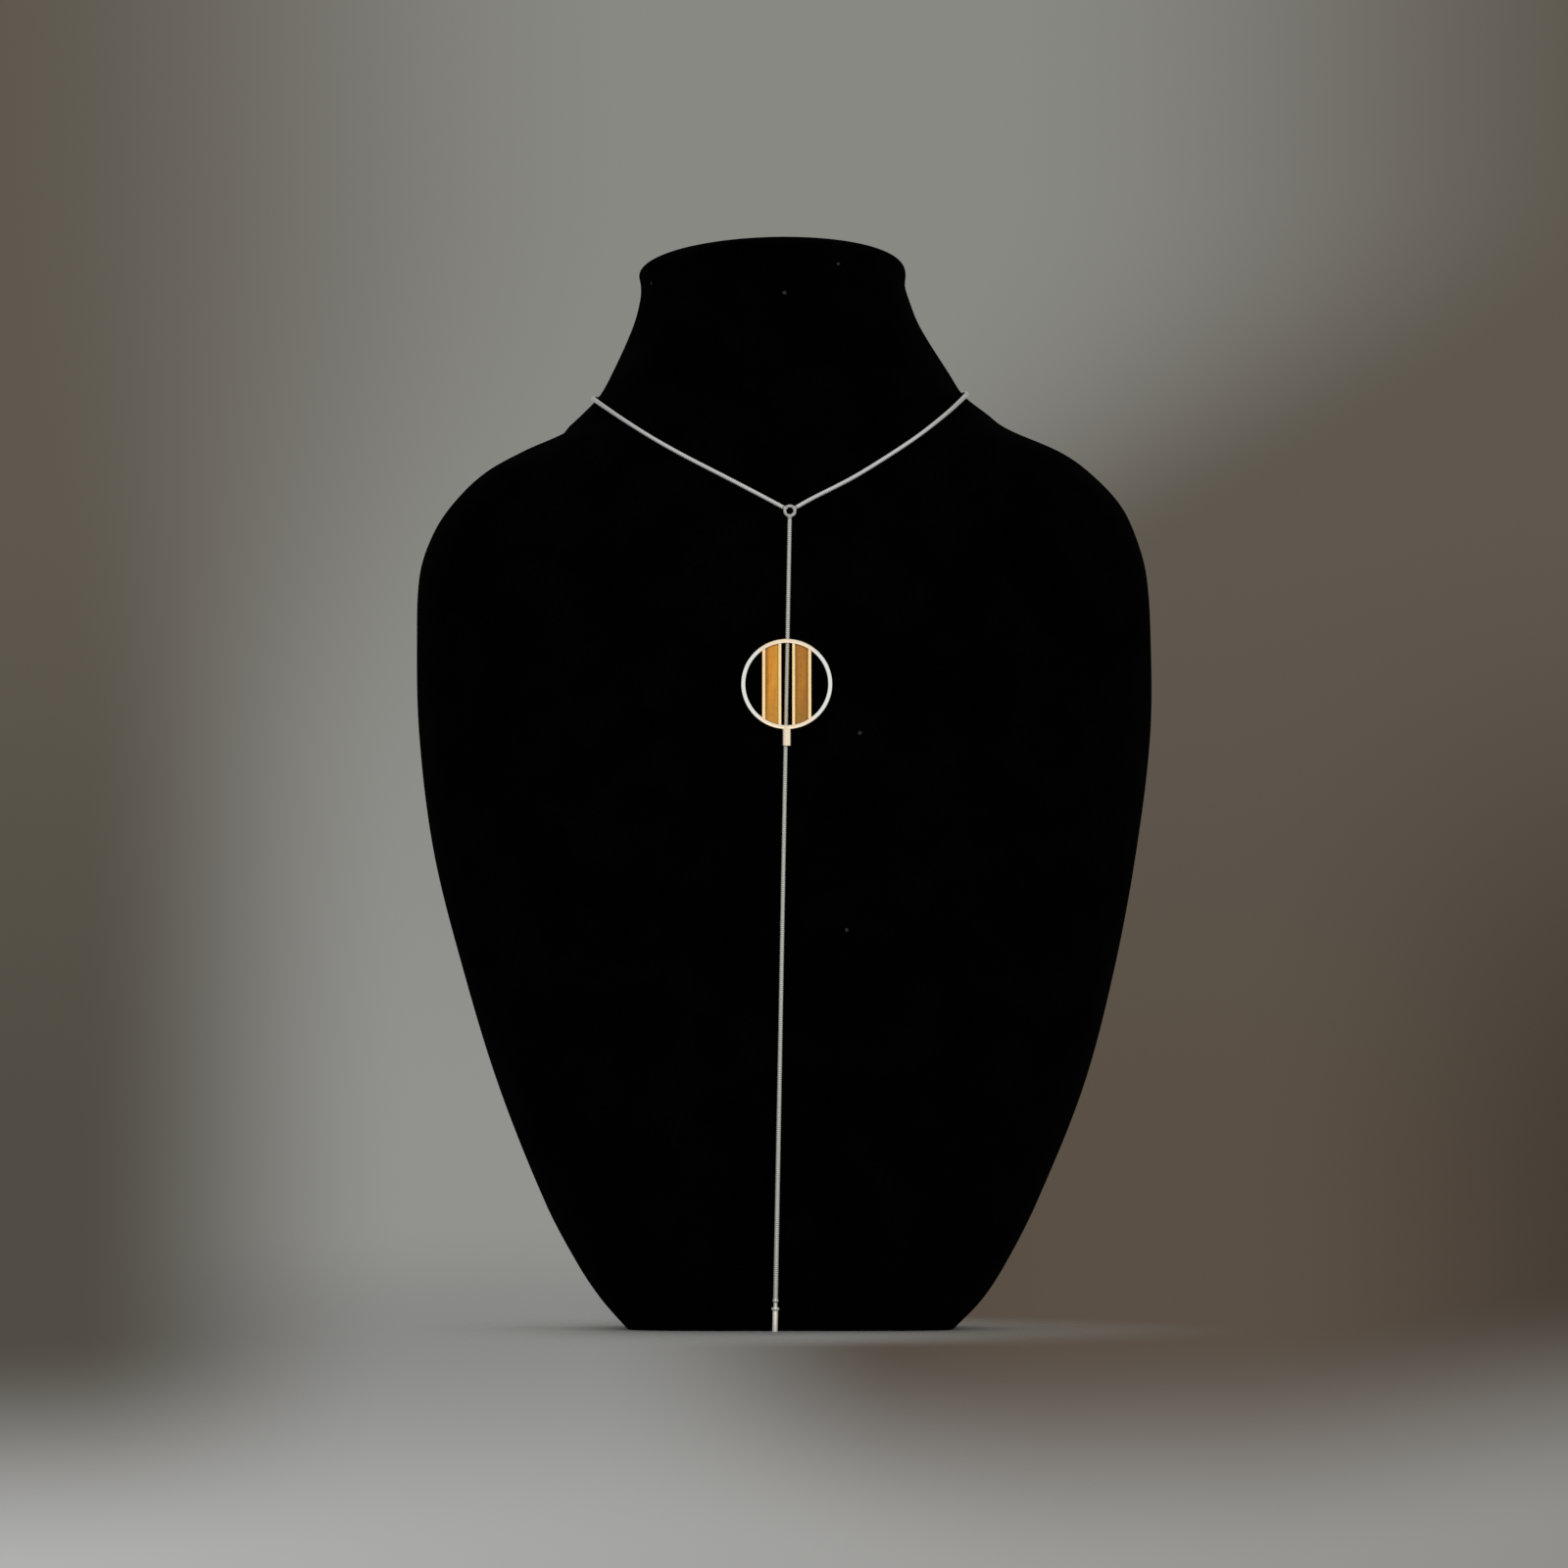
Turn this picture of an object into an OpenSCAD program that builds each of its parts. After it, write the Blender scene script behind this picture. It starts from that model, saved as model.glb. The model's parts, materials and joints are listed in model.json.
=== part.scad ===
// Lariat necklace shown on a velvet neck bust. Millimetres, +Z up, front towards -Y.
// The neck strands meet at a small soldered ring, a drop hangs from it to an end tube,
// and a round pendant slides on the drop and is gripped by the short tube below it.

/* [Neck bust] */
// Width across the shoulders
shoulder_w = 300; // [285:1:315]
// Depth through the chest, front to back
chest_d = 132; // [126:1:138]
// Rise of the rounded crown above the neck
crown_h = 11; // [9:0.5:14]

/* [Chain] */
// Thickness of the snake chain
chain_d = 1.9; // [1.5:0.1:1.9]
// Space between a strand and the velvet
rest_gap = 0.35; // [0.3:0.05:0.5]
// Distance from the velvet to the middle of the straight drop
drop_lift = 2.3; // [2.3:0.05:2.6]

/* [Junction ring] */
// Outer diameter of the ring
ring_od = 5.4; // [5:0.1:6]
// Thickness of its wire
ring_wire = 1.5; // [1.3:0.1:1.6]
// Height of its middle above the table
ring_z = 320.4; // [318:0.2:323]
// Sideways place of its middle
ring_x = 2.5; // [1:0.05:3]

/* [Pendant] */
// Height of its middle above the table
pendant_z = 251.9; // [240:0.1:262]
// Outer diameter of the round band
band_od = 35.6; // [34:0.2:37]
// Width of the band as seen from the front
band_w = 1.7; // [1.5:0.1:2]
// Depth of the band, front to back
band_d = 3.2; // [3:0.1:3.2]
// Half width of the open slot down the middle
slot_half = 2.1; // [1.8:0.1:2.3]
// Width of the two strips beside the slot
inner_strip_w = 1.2; // [1:0.1:1.4]
// Width of each stone inlay's channel
channel_w = 5; // [4:0.1:5.2]
// Width of the two outer strips
outer_strip_w = 1.3; // [1.2:0.05:1.5]
// Outer diameter of the grip tube
grip_od = 3.9; // [3.2:0.1:4]
// How far the grip tube stands below the band
grip_len = 6.5; // [4:0.1:8]

/* [End tube] */
// Diameter of the tube
tube_d = 2.1; // [2:0.1:2.6]
// Diameter of its flared rim
rim_d = 3.1; // [2.8:0.1:3.6]
// Height of its lower end above the table
tube_end_z = 1.4; // [1:0.1:3]
// Sideways place of its lower end
tube_end_x = -3.25; // [-4:0.05:-2]

/* [Clasp] */
// Length of the barrel clasp behind the neck
clasp_len = 11; // [9:0.5:14]
// Diameter of its barrel
clasp_d = 4; // [3.5:0.1:4.5]

/* [Hidden] */
$fn = 64;

// Plane of the bust's widest sections, set so that the whole part is centred on Y = 0
spine_y = 7.9;

// Sections of the bust from the table up, as laid out 300 wide and 132 deep
HEIGHT = 0; HALF_W = 1; SHIFT = 2; FRONT = 3; BACK = 4; SQUARE = 5;
// height, half width, sideways shift, front depth, back depth, squareness
BUST = [
    [  0,  65.3,  2.8, 26.0, 44.0, 4.20],
    [ 12,  76.5,  3.3, 37.0, 47.0, 3.40],
    [ 26,  86.0,  3.2, 46.0, 50.0, 2.90],
    [ 50,  98.8,  3.0, 56.0, 53.0, 2.50],
    [ 97, 118.1,  3.1, 66.5, 57.0, 2.35],
    [144, 131.9,  2.1, 71.5, 59.0, 2.30],
    [192, 142.8,  0.6, 72.0, 60.0, 2.30],
    [240, 149.1,  0.5, 72.0, 60.0, 2.30],
    [280, 150.0,  0.1, 72.0, 60.0, 2.30],
    [306, 148.7, -0.2, 72.0, 59.0, 2.30],
    [322, 143.9,  0.2, 71.8, 58.0, 2.30],
    [334, 137.1,  1.1, 70.0, 57.0, 2.30],
    [346, 125.5,  1.6, 66.5, 56.0, 2.30],
    [354, 113.0,  3.0, 63.5, 55.0, 2.30],
    [362,  95.2,  2.6, 60.5, 54.0, 2.25],
    [366,  89.8,  0.9, 59.2, 53.5, 2.22],
    [370,  85.3,  0.6, 58.0, 53.0, 2.20],
    [379,  75.8, -0.7, 55.5, 52.3, 2.10],
    [389,  69.8, -1.2, 53.5, 51.5, 2.05],
    [409,  59.4, -2.9, 50.5, 50.0, 2.00],
    [421,  55.5, -3.7, 49.2, 49.2, 2.00],
    [427,  54.6, -4.4, 48.6, 48.8, 2.00],
    [431,  55.1, -4.6, 49.4, 49.5, 2.00]
];
LAST = len(BUST) - 1;
CHEST = 8;           // row of the widest chest, which the drop hangs clear of
neck_top = BUST[LAST][HEIGHT];
width_k = shoulder_w / 300;
depth_k = chest_d / 132;
crown_power = 2.35;  // roundness of the crown's edge
crown_lean = 10;     // the crown's peak leans to the right
around = 48;         // points round a section
low_step = 16;       // greatest height between sections below the collar
high_step = 6;       // and above it
collar_z = 306;

// Routes of the neck strands over the velvet, from the ring to the clasp:
// bearing from the front, height, extra lift off the velvet
BEARING = 0; ROUTE_Z = 1; LIFT = 2;
LEFT_ROUTE = [
    [  -9, 327.6, 0.2], [ -20, 334.9, 0.1], [ -31, 342.7, 0.1], [ -42, 351.0, 0.2],
    [ -54, 360.6, 0.25], [ -68, 371.2, 0.1], [ -84, 377.7, 0.1], [ -98, 381.6, 0.1],
    [-113, 384.9, 0.1], [-128, 387.6, 0.1], [-142, 389.8, 0.1], [-153, 391.2, 0.3],
    [-163, 392.0, 1.0], [-170, 392.1, 1.25]
];
RIGHT_ROUTE = [
    [   9, 325.7, 0.2], [  20, 333.5, 0.1], [  30, 342.0, 0.1], [  40, 352.1, 0.2],
    [  52, 362.7, 0.25], [  66, 372.4, 0.1], [  84, 379.6, 0.1], [  98, 383.2, 0.1],
    [ 113, 386.2, 0.1], [ 128, 388.6, 0.1], [ 142, 390.5, 0.1], [ 153, 391.6, 0.3],
    [ 163, 392.0, 1.0], [ 170, 392.1, 1.25]
];
strand_sides = 8;
strand_steps = 3;    // rings to each stretch of a strand

// Small fits
chain_r = chain_d / 2;
cup_fit = 0.06;      // round a chain's end in a cup
bore_r = chain_r + 0.15;
butt_gap = 0.1;      // between a chain's end and what it is soldered to
inlay_fit = 0.05;    // round a stone in its channel

// Junction ring
ring_mid_r = (ring_od - ring_wire) / 2;
stub_h = 0.9;
stub_end = ring_od / 2 + 0.3;    // from the ring's middle to a stub's end

// Line of the drop: it hangs from the ring and leans a little to the left
drop_y = spine_y - BUST[CHEST][FRONT] * depth_k - drop_lift;
drop_len = norm([ring_x - tube_end_x, ring_z - tube_end_z]);
drop_tilt = atan2(ring_x - tube_end_x, ring_z - tube_end_z);
pendant_drop = (ring_z - pendant_z) / cos(drop_tilt);

// End tube, measured up from its lower end
tube_top = 8.1;
rim_flare = 0.45;    // height over which the tube widens to its rim
rim_top = 9.4;
waist_top = 11.3;
collar_top = 12.6;
waist_r = 0.8;
collar_r = chain_r + 0.2;
cup_depth = 1;

// Pendant, measured from its middle
band_r = band_od / 2;
band_in = band_r - band_w;
band_edge = 0.4;     // rounding of the band's edges
strip_d = 2.8;
strip_edge = 0.25;
plate_d = 0.5;       // sheet behind each stone
plate_back = 1.3;    // depth of its back face
stone_front = 1.0;   // the stones lie a little below the strips
inner_strip_x = slot_half;
channel_x = inner_strip_x + inner_strip_w;
outer_strip_x = channel_x + channel_w;
solder = 0.4;        // strips run this far into the band

// Clasp
clasp_z = 392;
clasp_cup = 2.4;     // depth of the cup at each end
clasp_neck = 0.3;    // the barrel is this much thinner round its cups
clasp_seam = 0.25;   // depth of the groove round its middle
chamfer = 0.2;

// A power that keeps the sign of its base
function signed_pow(v, p) = sign(v) * pow(abs(v), p);
function unit(v) = v / norm(v);

// Smooth curve through one column of the table of sections
function bust_slope(i, col) =
    let (lo = max(i - 1, 0), hi = min(i + 1, LAST))
    (BUST[hi][col] - BUST[lo][col]) / (BUST[hi][HEIGHT] - BUST[lo][HEIGHT]);
function bust_value(z, i, col) =
    let (h = BUST[i + 1][HEIGHT] - BUST[i][HEIGHT],
         t = (z - BUST[i][HEIGHT]) / h)
    (2 * pow(t, 3) - 3 * t * t + 1) * BUST[i][col]
    + (pow(t, 3) - 2 * t * t + t) * h * bust_slope(i, col)
    + (3 * t * t - 2 * pow(t, 3)) * BUST[i + 1][col]
    + (pow(t, 3) - t * t) * h * bust_slope(i + 1, col);
function bust_section(z) =
    let (i = max([for (k = [0 : LAST - 1]) if (z >= BUST[k][HEIGHT]) k]))
    [0, bust_value(z, i, HALF_W) * width_k, bust_value(z, i, SHIFT),
     bust_value(z, i, FRONT) * depth_k, bust_value(z, i, BACK) * depth_k,
     bust_value(z, i, SQUARE)];

// Point of the bust at a bearing from the front and a height below the neck's top
function bust_point(bearing, z) =
    let (s = bust_section(z),
         d = cos(bearing) > 0 ? s[FRONT] : s[BACK],
         n = s[SQUARE],
         r = pow(pow(abs(sin(bearing)) / s[HALF_W], n) + pow(abs(cos(bearing)) / d, n), -1 / n))
    [s[SHIFT] + r * sin(bearing), spine_y - r * cos(bearing), z];
function bust_normal(bearing, z) =
    unit(cross(bust_point(bearing + 0.5, z) - bust_point(bearing - 0.5, z),
               bust_point(bearing, z + 0.5) - bust_point(bearing, z - 0.5)));
function bust_offset(bearing, z, off) = bust_point(bearing, z) + off * bust_normal(bearing, z);

// One ring of the bust: its section at height z, shrunk by k and shifted by lean
function bust_ring(z, k = 1, lean = 0) =
    let (s = bust_section(min(z, neck_top)), p = 2 / s[SQUARE])
    [for (j = [0 : around - 1])
        let (a = 360 * j / around, d = cos(a) > 0 ? s[FRONT] : s[BACK])
        [s[SHIFT] + lean + k * s[HALF_W] * signed_pow(sin(a), p),
         spine_y - k * d * signed_pow(cos(a), p), z]];

bust_heights = [for (i = [0 : LAST - 1])
    let (dz = BUST[i + 1][HEIGHT] - BUST[i][HEIGHT],
         n = ceil(dz / (BUST[i][HEIGHT] < collar_z ? low_step : high_step)))
    for (k = [0 : n - 1]) BUST[i][HEIGHT] + k * dz / n];
crown_rises = [for (e = [0 : 15 : 75]) sin(e)];
bust_rings = concat(
    [for (z = bust_heights) bust_ring(z)],
    [for (u = crown_rises)
        bust_ring(neck_top + crown_h * u, pow(1 - pow(u, crown_power), 1 / crown_power),
                  crown_lean * u * u)]);

// Faces of a tube of rings with n points each, closed by a flat face at the start
function skin_faces(rings, n) = concat(
    [[for (j = [0 : n - 1]) j]],
    [for (i = [0 : rings - 2], j = [0 : n - 1])
        [i * n + j, (i + 1) * n + j, (i + 1) * n + (j + 1) % n]],
    [for (i = [0 : rings - 2], j = [0 : n - 1])
        [i * n + j, (i + 1) * n + (j + 1) % n, i * n + (j + 1) % n]]);

module neck_bust() {
    rings = len(bust_rings);
    last = (rings - 1) * around;
    apex = [BUST[LAST][SHIFT] + crown_lean, spine_y, neck_top + crown_h];
    color("black")
        polyhedron(
            points = concat([for (r = bust_rings) each r], [apex]),
            faces = concat(
                skin_faces(rings, around),
                [for (j = [0 : around - 1]) [last + j, rings * around, last + (j + 1) % around]]));
}

// Strands: centre line and the velvet's direction at each of its points
ring_c = [ring_x, drop_y, ring_z];
clasp_c = bust_offset(180, clasp_z, rest_gap + clasp_d / 2);
function row_point(q) = bust_offset(q[BEARING], q[ROUTE_Z], rest_gap + chain_r + q[LIFT]);
function strand_dir(route) = unit(row_point(route[0]) - ring_c);
function route_side(route) = sign(route[0][BEARING]);
function clasp_point(route, x) = clasp_c + [route_side(route) * x, 0, 0];
function strand_rows(route) = concat(
    [ring_c + (stub_end + butt_gap) * strand_dir(route)],
    [for (q = route) row_point(q)],
    [clasp_point(route, clasp_len / 2 + 0.6),
     clasp_point(route, clasp_len / 2 - clasp_cup + butt_gap)]);
function strand_normals(route) = concat(
    [[0, -1, 0]],
    [for (q = route) bust_normal(q[BEARING], q[ROUTE_Z])],
    [bust_normal(180, clasp_z), bust_normal(180, clasp_z)]);

// Smooth curve through rows of points
function curve_point(rows, i, t) =
    let (p0 = rows[max(i - 1, 0)], p1 = rows[i],
         p2 = rows[i + 1], p3 = rows[min(i + 2, len(rows) - 1)])
    0.5 * (2 * p1 + (p2 - p0) * t + (2 * p0 - 5 * p1 + 4 * p2 - p3) * t * t
           + (3 * p1 - p0 - 3 * p2 + p3) * t * t * t);
function curve(rows) = concat(
    [for (i = [0 : len(rows) - 2], k = [0 : strand_steps - 1])
        curve_point(rows, i, k / strand_steps)],
    [rows[len(rows) - 1]]);

module strand(route) {
    line = curve(strand_rows(route));
    up = curve(strand_normals(route));
    n = len(line);
    rings = [for (i = [0 : n - 1])
        let (along = unit(line[min(i + 1, n - 1)] - line[max(i - 1, 0)]),
             out = unit(up[i] - (up[i] * along) * along),
             side = cross(along, out))
        for (j = [0 : strand_sides - 1])
            let (a = 360 * j / strand_sides)
            line[i] + chain_r * (cos(a) * out + sin(a) * side)];
    color("silver")
        polyhedron(
            points = rings,
            faces = concat(
                skin_faces(n, strand_sides),
                [[for (j = [strand_sides - 1 : -1 : 0]) (n - 1) * strand_sides + j]]));
}

module neck_chain_left() {
    strand(LEFT_ROUTE);
}

module neck_chain_right() {
    strand(RIGHT_ROUTE);
}

// Barrel clasp behind the neck, with a cup at each end for a strand
module clasp() {
    r = clasp_d / 2;
    cup_r = chain_r + 0.1;
    neck_r = r - clasp_neck;
    half = clasp_len / 2;
    step = half - clasp_cup + 0.3;
    right_half = [
        [r - clasp_seam, 0], [r - clasp_seam, chamfer], [r, 2 * chamfer], [r, step],
        [neck_r, step + clasp_neck], [neck_r, half - chamfer], [neck_r - chamfer, half],
        [cup_r, half], [cup_r, half - clasp_cup], [0, half - clasp_cup]
    ];
    last = len(right_half) - 1;
    profile = concat(
        [for (i = [last : -1 : 1]) [right_half[i][0], -right_half[i][1]]],
        right_half);
    color("silver")
        translate(clasp_c)
            rotate([0, 90, 0])
                rotate_extrude() polygon(profile);
}

// A short soldered stub that points from the ring's middle along dir
module stub(dir) {
    tilt = acos(dir[2]);
    turn = atan2(dir[1], dir[0]);
    rotate([0, tilt, turn])
        translate([0, 0, stub_end - stub_h])
            cylinder(h = stub_h, r1 = collar_r, r2 = chain_r, $fn = 32);
}

module junction_ring() {
    color("silver")
        translate(ring_c) {
            rotate([90, 0, 0])
                rotate_extrude() translate([ring_mid_r, 0]) circle(d = ring_wire, $fn = 32);
            stub(strand_dir(LEFT_ROUTE));
            stub(strand_dir(RIGHT_ROUTE));
            rotate([0, drop_tilt, 0]) stub([0, 0, -1]);
        }
}

// Puts its children on the drop, s below the ring's middle, with +Z along the chain
module on_drop(s) {
    translate(ring_c)
        rotate([0, drop_tilt, 0])
            translate([0, 0, -s]) children();
}

module drop_chain() {
    top = stub_end + butt_gap;
    bottom = drop_len - collar_top + cup_depth - butt_gap;
    color("silver")
        on_drop(bottom) cylinder(h = bottom - top, r = chain_r);
}

// Turned tube on the drop's end: cup, waist, flared rim and plain barrel
module end_tube() {
    r = tube_d / 2;
    rim_r = rim_d / 2;
    cup_r = chain_r + cup_fit;
    cup_low = collar_top - cup_depth;
    color("silver")
        on_drop(drop_len)
            rotate_extrude() polygon([
                [0, 0], [r - chamfer, 0], [r, chamfer], [r, tube_top],
                [rim_r, tube_top + rim_flare], [rim_r, rim_top - chamfer],
                [rim_r - chamfer, rim_top], [waist_r, rim_top], [waist_r, waist_top],
                [collar_r, waist_top + chamfer], [collar_r, collar_top],
                [cup_r, collar_top], [cup_r, cup_low], [0, cup_low]
            ]);
}

// Cylinder through the pendant from front to back
module through(r, front, back) {
    translate([0, back, 0])
        rotate([90, 0, 0]) cylinder(h = front + back, r = r, $fn = 128);
}

// Upright strip with softened front and back edges, from x0 towards +X
module strip(x0, w) {
    e = strip_edge;
    d = strip_d / 2;
    translate([x0, 0, -band_r])
        linear_extrude(band_od)
            polygon([[0, -d + e], [e, -d], [w - e, -d], [w, -d + e],
                     [w, d - e], [w - e, d], [e, d], [0, d - e]]);
}

// Turns its children plumb in the pendant, whose chain leans, on side 1 (right) or -1 (left)
module upright(side) {
    rotate([0, -drop_tilt, 0])
        mirror([side < 0 ? 1 : 0, 0, 0]) children();
}

// Strips and back plate of one half
module channel(side) {
    upright(side)
        intersection() {
            union() {
                strip(inner_strip_x, inner_strip_w);
                strip(outer_strip_x, outer_strip_w);
                translate([channel_x - inner_strip_w / 2, plate_back - plate_d, -band_r])
                    cube([channel_w + inner_strip_w, plate_d, band_od]);
            }
            through(band_in + solder, band_d, band_d);
        }
}

module band() {
    e = band_edge;
    d = band_d / 2;
    rotate([90, 0, 0])
        rotate_extrude($fn = 128)
            polygon([[band_in, -d + e], [band_in + e, -d], [band_r - e, -d], [band_r, -d + e],
                     [band_r, d - e], [band_r - e, d], [band_in + e, d], [band_in, d - e]]);
}

module pendant_frame() {
    grip_r = grip_od / 2;
    grip_end = band_r + grip_len;
    grip_top = grip_len + band_w - 0.3;
    edge = 0.25;
    over = 1;
    color("gainsboro")
        on_drop(pendant_drop)
            difference() {
                union() {
                    band();
                    channel(1);
                    channel(-1);
                    upright(1)
                        translate([0, 0, -grip_end])
                            rotate_extrude() polygon([
                                [0, 0], [grip_r - edge, 0], [grip_r, edge],
                                [grip_r, grip_top], [0, grip_top]
                            ]);
                }
                translate([0, 0, -grip_end - over])
                    cylinder(h = grip_end + band_r + 2 * over, r = bore_r);
            }
}

// Stone slab that fills one channel, its ends following the band
module inlay(side) {
    depth = stone_front + plate_back - plate_d - inlay_fit;
    color("chocolate")
        on_drop(pendant_drop)
            upright(side)
                intersection() {
                    translate([channel_x + inlay_fit, -stone_front, -band_r])
                        cube([channel_w - 2 * inlay_fit, depth, band_od]);
                    through(band_in - inlay_fit, band_d, band_d);
                }
}

module inlay_left() {
    inlay(-1);
}

module inlay_right() {
    inlay(1);
}

neck_bust();
neck_chain_left();
neck_chain_right();
clasp();
junction_ring();
drop_chain();
end_tube();
pendant_frame();
inlay_left();
inlay_right();
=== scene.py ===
import json
import math

import bmesh
import bpy
import numpy as np
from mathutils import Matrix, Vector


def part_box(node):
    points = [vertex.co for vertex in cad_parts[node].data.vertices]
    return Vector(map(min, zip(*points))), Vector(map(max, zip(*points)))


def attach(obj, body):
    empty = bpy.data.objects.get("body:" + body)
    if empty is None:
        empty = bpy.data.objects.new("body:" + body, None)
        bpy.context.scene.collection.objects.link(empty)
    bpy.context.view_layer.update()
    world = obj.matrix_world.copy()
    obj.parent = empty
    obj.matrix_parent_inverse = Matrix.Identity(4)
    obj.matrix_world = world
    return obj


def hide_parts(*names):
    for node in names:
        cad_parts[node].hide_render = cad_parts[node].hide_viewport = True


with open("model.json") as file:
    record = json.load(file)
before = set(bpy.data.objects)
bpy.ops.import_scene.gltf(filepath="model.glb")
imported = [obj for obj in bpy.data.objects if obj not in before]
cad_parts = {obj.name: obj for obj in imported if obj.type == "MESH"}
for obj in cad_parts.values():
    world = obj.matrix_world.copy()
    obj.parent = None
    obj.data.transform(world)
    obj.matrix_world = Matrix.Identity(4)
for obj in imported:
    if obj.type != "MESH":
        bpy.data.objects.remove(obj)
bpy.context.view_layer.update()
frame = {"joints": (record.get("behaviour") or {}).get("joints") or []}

mm = 0.001  # shapes are worked out in millimetres and stored in metres


def unitRows(v):
    return v / np.linalg.norm(v, axis=-1, keepdims=True)


# Grid corners: four neighbours of a grid of points, the columns always closed round,
# the rows closed too where the path is a ring
def gridQuads(rows, columns, ringPath=False):
    i, j = np.meshgrid(np.arange(rows if ringPath else rows - 1), np.arange(columns), indexing="ij")
    up, right = (i + 1) % rows, (j + 1) % columns
    quads = [i * columns + j, i * columns + right, up * columns + right, up * columns + j]
    return np.stack(quads, -1).reshape(-1, 4)


# One mesh from a grid of points in millimetres. Open ends are closed by a flat face if capped
def gridMesh(name, points, ringPath=False, capped=True):
    rows, columns = points.shape[:2]
    faces = gridQuads(rows, columns, ringPath).tolist()
    if capped and not ringPath:
        faces.append(list(range(columns))[::-1])
        faces.append(list(range((rows - 1) * columns, rows * columns)))
    mesh = bpy.data.meshes.new(name)
    mesh.from_pydata((points.reshape(-1, 3) * mm).tolist(), [], faces)
    mesh.validate()
    return mesh


# Opens a mesh, does some work on it and writes it back
def rework(mesh, work):
    shell = bmesh.new()
    shell.from_mesh(mesh)
    work(shell)
    shell.to_mesh(mesh)
    shell.free()


# Merges points that fall together, as the last ring of a grid does at a pole
def mergePoles(mesh, reach=1e-7):
    def work(shell):
        bmesh.ops.remove_doubles(shell, verts=shell.verts, dist=reach)
        bmesh.ops.dissolve_degenerate(shell, edges=shell.edges, dist=reach)

    rework(mesh, work)


def faceOutwards(mesh):
    rework(mesh, lambda shell: bmesh.ops.recalc_face_normals(shell, faces=shell.faces))


def joined(name, parts):
    shell = bmesh.new()
    for part in parts:
        shell.from_mesh(part)
    bmesh.ops.remove_doubles(shell, verts=shell.verts, dist=1e-8)
    mesh = bpy.data.meshes.new(name)
    shell.to_mesh(mesh)
    shell.free()
    return mesh


# Gives a piece its material and shades it smooth
def dress(piece, material):
    piece.data.materials.clear()
    piece.data.materials.append(material)
    piece.data.polygons.foreach_set("use_smooth", np.ones(len(piece.data.polygons), bool))


def makeObject(name, mesh, material):
    piece = bpy.data.objects.new(name, mesh)
    bpy.context.scene.collection.objects.link(piece)
    dress(piece, material)
    return piece


# A profile carried along a path: point = centre + first * out + second * side
def sweep(centres, outs, sides, loop):
    return centres[:, None] + loop[None, :, :1] * outs[:, None] + loop[None, :, 1:] * sides[:, None]


# A profile of (radius, height) turned round an axis: point = base + height * axis
# + radius * (cos(a) * out + sin(a) * side)
def lathe(profile, base, axis, columns):
    axis = np.array(axis, float)
    out = unitRows(np.cross([0, 1, 0], axis))
    side = np.cross(axis, out)
    a = np.linspace(0, 2 * np.pi, columns, endpoint=False)
    spoke = np.cos(a)[:, None] * out + np.sin(a)[:, None] * side
    return np.array(base) + profile[:, None, 1:] * axis + profile[:, None, :1] * spoke[None]


# Corners cut back and bent: each becomes a parabola that starts and ends a cut away from it,
# but no further than the atMost part of the side
def softened(corners, cut, steps=4, closed=False, atMost=0.45):
    corners = np.array(corners, float)
    count = len(corners)
    cut = np.broadcast_to(cut, (count,))
    back, ahead = np.roll(corners, 1, 0) - corners, np.roll(corners, -1, 0) - corners
    backLength, aheadLength = np.linalg.norm(back, axis=1), np.linalg.norm(ahead, axis=1)
    start = corners + back * (np.minimum(cut, atMost * backLength) / backLength)[:, None]
    end = corners + ahead * (np.minimum(cut, atMost * aheadLength) / aheadLength)[:, None]
    t = np.linspace(0, 1, steps + 1)[None, :, None]
    bend = (1 - t) ** 2 * start[:, None] + 2 * t * (1 - t) * corners[:, None] + t * t * end[:, None]
    if closed:
        return bend.reshape(-1, 2)
    return np.concatenate([corners[:1], bend[1:-1].reshape(-1, 2), corners[-1:]])


# Keeps the mesh that a piece's modifiers make, without them
def applyModifiers(piece):
    view = bpy.context.evaluated_depsgraph_get()
    finished = bpy.data.meshes.new_from_object(piece.evaluated_get(view))
    piece.modifiers.clear()
    piece.data = finished


# Colours and nodes

def linearColour(hexText):
    s = np.array([int(hexText[k:k + 2], 16) for k in (1, 3, 5)]) / 255
    linear = np.where(s <= 0.04045, s / 12.92, ((s + 0.055) / 1.055) ** 2.4)
    return (*linear.tolist(), 1.0)


# Feeds a node's inputs, given in order or by name: another node's output is linked, a hex colour
# or a plain value is set on the socket
def feed(tree, node, inputs):
    for key, value in inputs.items() if isinstance(inputs, dict) else enumerate(inputs):
        socket = node.inputs[key]
        if isinstance(value, bpy.types.NodeSocket):
            tree.links.new(value, socket)
        else:
            socket.default_value = linearColour(value) if isinstance(value, str) else value


def addNode(tree, kind, inputs=(), stops=(), **settings):
    node = tree.nodes.new("ShaderNode" + kind)
    for key, value in settings.items():
        setattr(node, key, value)
    feed(tree, node, inputs)
    for k, (place, colour) in enumerate(stops):
        while len(node.color_ramp.elements) <= k:
            node.color_ramp.elements.new(1)
        node.color_ramp.elements[k].position = place
        node.color_ramp.elements[k].color = linearColour(colour)
    return node


smooth = {"interpolation_type": "SMOOTHSTEP"}


def newMaterial(name):
    material = bpy.data.materials.new(name)
    material.use_nodes = True
    tree = material.node_tree
    return material, tree, tree.nodes["Principled BSDF"]


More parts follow.
